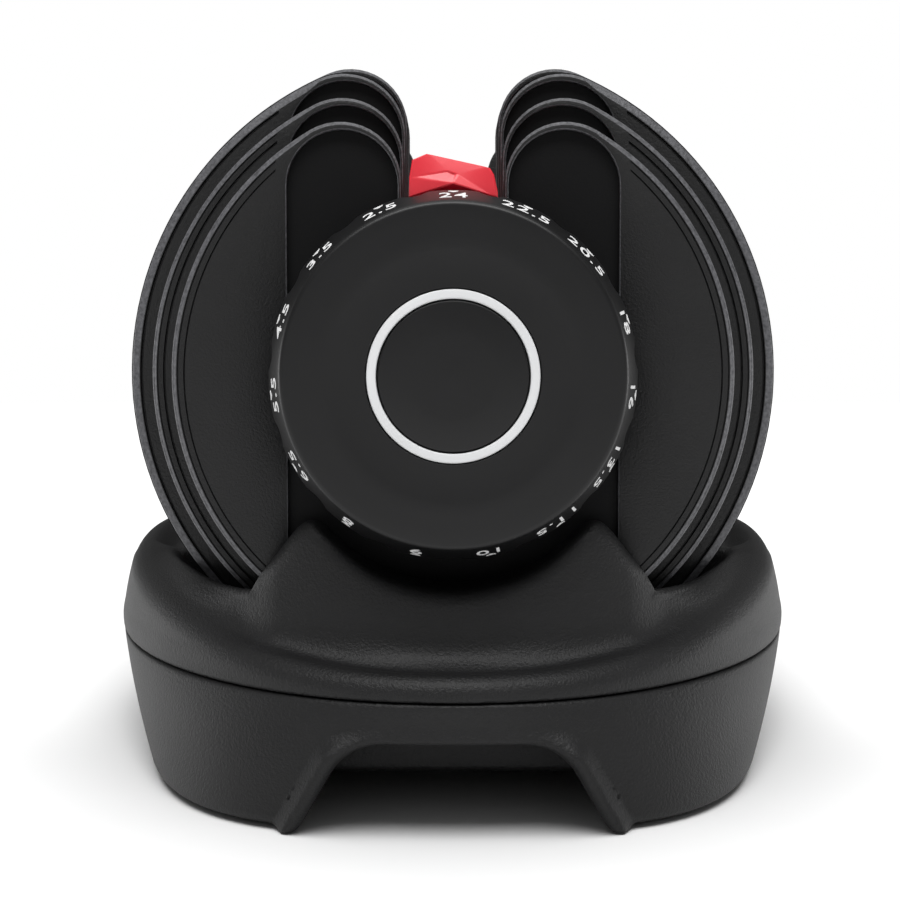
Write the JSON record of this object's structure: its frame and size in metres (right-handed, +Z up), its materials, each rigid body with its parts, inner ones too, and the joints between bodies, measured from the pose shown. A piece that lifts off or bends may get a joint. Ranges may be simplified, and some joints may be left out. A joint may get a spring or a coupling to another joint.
{
  "type": "adjustable dumbbell with storage tray",
  "caption": "Dial-selected adjustable dumbbell: slotted weight plates on both sides of a rubber grip, round selector dials, red bridges, resting in a black storage tray.",
  "frame": {"origin": "middle of the tray's footprint, on the surface it stands on", "axes": "+Z up, +Y along the handle away from the near dial, +X across the plates to the right of someone facing the near dial"},
  "size_m": [0.2456, 0.4316, 0.2263],
  "materials": {
    "tray_top": "fine grained matte black moulding",
    "tray_base": "grained matte black moulding, a little paler than the top",
    "tray_feet": "soft black rubber",
    "screws": "zinc-plated steel",
    "rod": "bright drawn steel",
    "grip_tube": "plain steel tube, hidden under the rubber",
    "grip": "textured black rubber",
    "bolts": "blackened steel",
    "housing": "satin black moulding",
    "lock": "yellow-passivated steel stamping",
    "spring": "bright spring wire",
    "bridge": "satin red moulding",
    "bushing": "sintered bronze",
    "sleeve": "machined steel",
    "dial": "smooth satin black face with a grey-black rim",
    "dial_cap": "smooth matte black",
    "ring": "pale grey inlay",
    "selector": "glass-filled nylon",
    "plate_core": "black coated steel, satin",
    "plate_cover": "sand-textured black moulding with paler edges"
  },
  "bodies": {
    "tray": {"tray_upper": "tray_top", "tray_lower": "tray_base", "tray_feet": "tray_feet", "tray_screws": "screws"},
    "handle": {"handle_rod": "rod", "grip_core": "grip_tube", "grip_rubber": "grip", "end_bolts": "bolts", "housing_screws": "screws", "lock_housing_near": "housing", "lock_spring_near": "spring", "bridge_near": "bridge", "end_bushing_near": "bushing", "lock_housing_far": "housing", "lock_spring_far": "spring", "bridge_far": "bridge", "end_bushing_far": "bushing"},
    "lock_near": {"lock_slider_near": "lock"},
    "dial_near": {"dial_knob_near": "dial", "dial_ring_near": "ring", "dial_cap_near": "dial_cap", "drive_sleeve_near": "sleeve", "index_wheel_near": "sleeve", "selector_disc_1_near": "selector", "selector_disc_2_near": "selector", "selector_disc_3_near": "selector", "selector_disc_4_near": "selector", "selector_disc_5_near": "selector"},
    "plate_1_near": {"plate_core_1_near": "plate_core", "plate_covers_1_near": "plate_cover"},
    "plate_2_near": {"plate_core_2_near": "plate_core", "plate_covers_2_near": "plate_cover"},
    "plate_3_near": {"plate_core_3_near": "plate_core", "plate_covers_3_near": "plate_cover"},
    "plate_4_near": {"plate_core_4_near": "plate_core", "plate_covers_4_near": "plate_cover"},
    "plate_5_near": {"plate_core_5_near": "plate_core", "plate_covers_5_near": "plate_cover"},
    "lock_far": {"lock_slider_far": "lock"},
    "dial_far": {"dial_knob_far": "dial", "dial_ring_far": "ring", "dial_cap_far": "dial_cap", "drive_sleeve_far": "sleeve", "index_wheel_far": "sleeve", "selector_disc_1_far": "selector", "selector_disc_2_far": "selector", "selector_disc_3_far": "selector", "selector_disc_4_far": "selector", "selector_disc_5_far": "selector"},
    "plate_1_far": {"plate_core_1_far": "plate_core", "plate_covers_1_far": "plate_cover"},
    "plate_2_far": {"plate_core_2_far": "plate_core", "plate_covers_2_far": "plate_cover"},
    "plate_3_far": {"plate_core_3_far": "plate_core", "plate_covers_3_far": "plate_cover"},
    "plate_4_far": {"plate_core_4_far": "plate_core", "plate_covers_4_far": "plate_cover"},
    "plate_5_far": {"plate_core_5_far": "plate_core", "plate_covers_5_far": "plate_cover"}
  },
  "joints": [
    {"name": "handle_lift", "type": "slide", "parent": "tray", "child": "handle", "axis": [0, 0, 1], "range_m": [0, 0.18]},
    {"name": "dial_near_turn", "type": "hinge", "parent": "handle", "child": "dial_near", "pos_m": [0, 0, 0.124], "axis": [0, 1, 0], "continuous": true},
    {"name": "lock_near_slide", "type": "slide", "parent": "handle", "child": "lock_near", "axis": [0, 0, 1], "range_m": [-0.0036, 0], "deforming": ["lock_spring_near"]},
    {"name": "plate_1_near_lift", "type": "slide", "parent": "tray", "child": "plate_1_near", "axis": [0, 0, 1], "range_m": [0, 0.18]},
    {"name": "plate_2_near_lift", "type": "slide", "parent": "tray", "child": "plate_2_near", "axis": [0, 0, 1], "range_m": [0, 0.18]},
    {"name": "plate_3_near_lift", "type": "slide", "parent": "tray", "child": "plate_3_near", "axis": [0, 0, 1], "range_m": [0, 0.18]},
    {"name": "plate_4_near_lift", "type": "slide", "parent": "tray", "child": "plate_4_near", "axis": [0, 0, 1], "range_m": [0, 0.18]},
    {"name": "plate_5_near_lift", "type": "slide", "parent": "tray", "child": "plate_5_near", "axis": [0, 0, 1], "range_m": [0, 0.18]},
    {"name": "dial_far_turn", "type": "hinge", "parent": "handle", "child": "dial_far", "pos_m": [0, 0, 0.124], "axis": [0, 1, 0], "continuous": true},
    {"name": "lock_far_slide", "type": "slide", "parent": "handle", "child": "lock_far", "axis": [0, 0, 1], "range_m": [-0.0036, 0], "deforming": ["lock_spring_far"]},
    {"name": "plate_1_far_lift", "type": "slide", "parent": "tray", "child": "plate_1_far", "axis": [0, 0, 1], "range_m": [0, 0.18]},
    {"name": "plate_2_far_lift", "type": "slide", "parent": "tray", "child": "plate_2_far", "axis": [0, 0, 1], "range_m": [0, 0.18]},
    {"name": "plate_3_far_lift", "type": "slide", "parent": "tray", "child": "plate_3_far", "axis": [0, 0, 1], "range_m": [0, 0.18]},
    {"name": "plate_4_far_lift", "type": "slide", "parent": "tray", "child": "plate_4_far", "axis": [0, 0, 1], "range_m": [0, 0.18]},
    {"name": "plate_5_far_lift", "type": "slide", "parent": "tray", "child": "plate_5_far", "axis": [0, 0, 1], "range_m": [0, 0.18]}
  ],
  "couplings": [
    {"joint": "lock_near_slide", "follows": "handle_lift", "ratio": -0.019444},
    {"joint": "plate_1_near_lift", "follows": "handle_lift", "ratio": 1},
    {"joint": "plate_2_near_lift", "follows": "handle_lift", "ratio": 1},
    {"joint": "plate_3_near_lift", "follows": "handle_lift", "ratio": 1},
    {"joint": "plate_4_near_lift", "follows": "handle_lift", "ratio": 1},
    {"joint": "plate_5_near_lift", "follows": "handle_lift", "ratio": 1},
    {"joint": "lock_far_slide", "follows": "handle_lift", "ratio": -0.019444},
    {"joint": "plate_1_far_lift", "follows": "handle_lift", "ratio": 1},
    {"joint": "plate_2_far_lift", "follows": "handle_lift", "ratio": 1},
    {"joint": "plate_3_far_lift", "follows": "handle_lift", "ratio": 1},
    {"joint": "plate_4_far_lift", "follows": "handle_lift", "ratio": 1},
    {"joint": "plate_5_far_lift", "follows": "handle_lift", "ratio": 1}
  ]
}
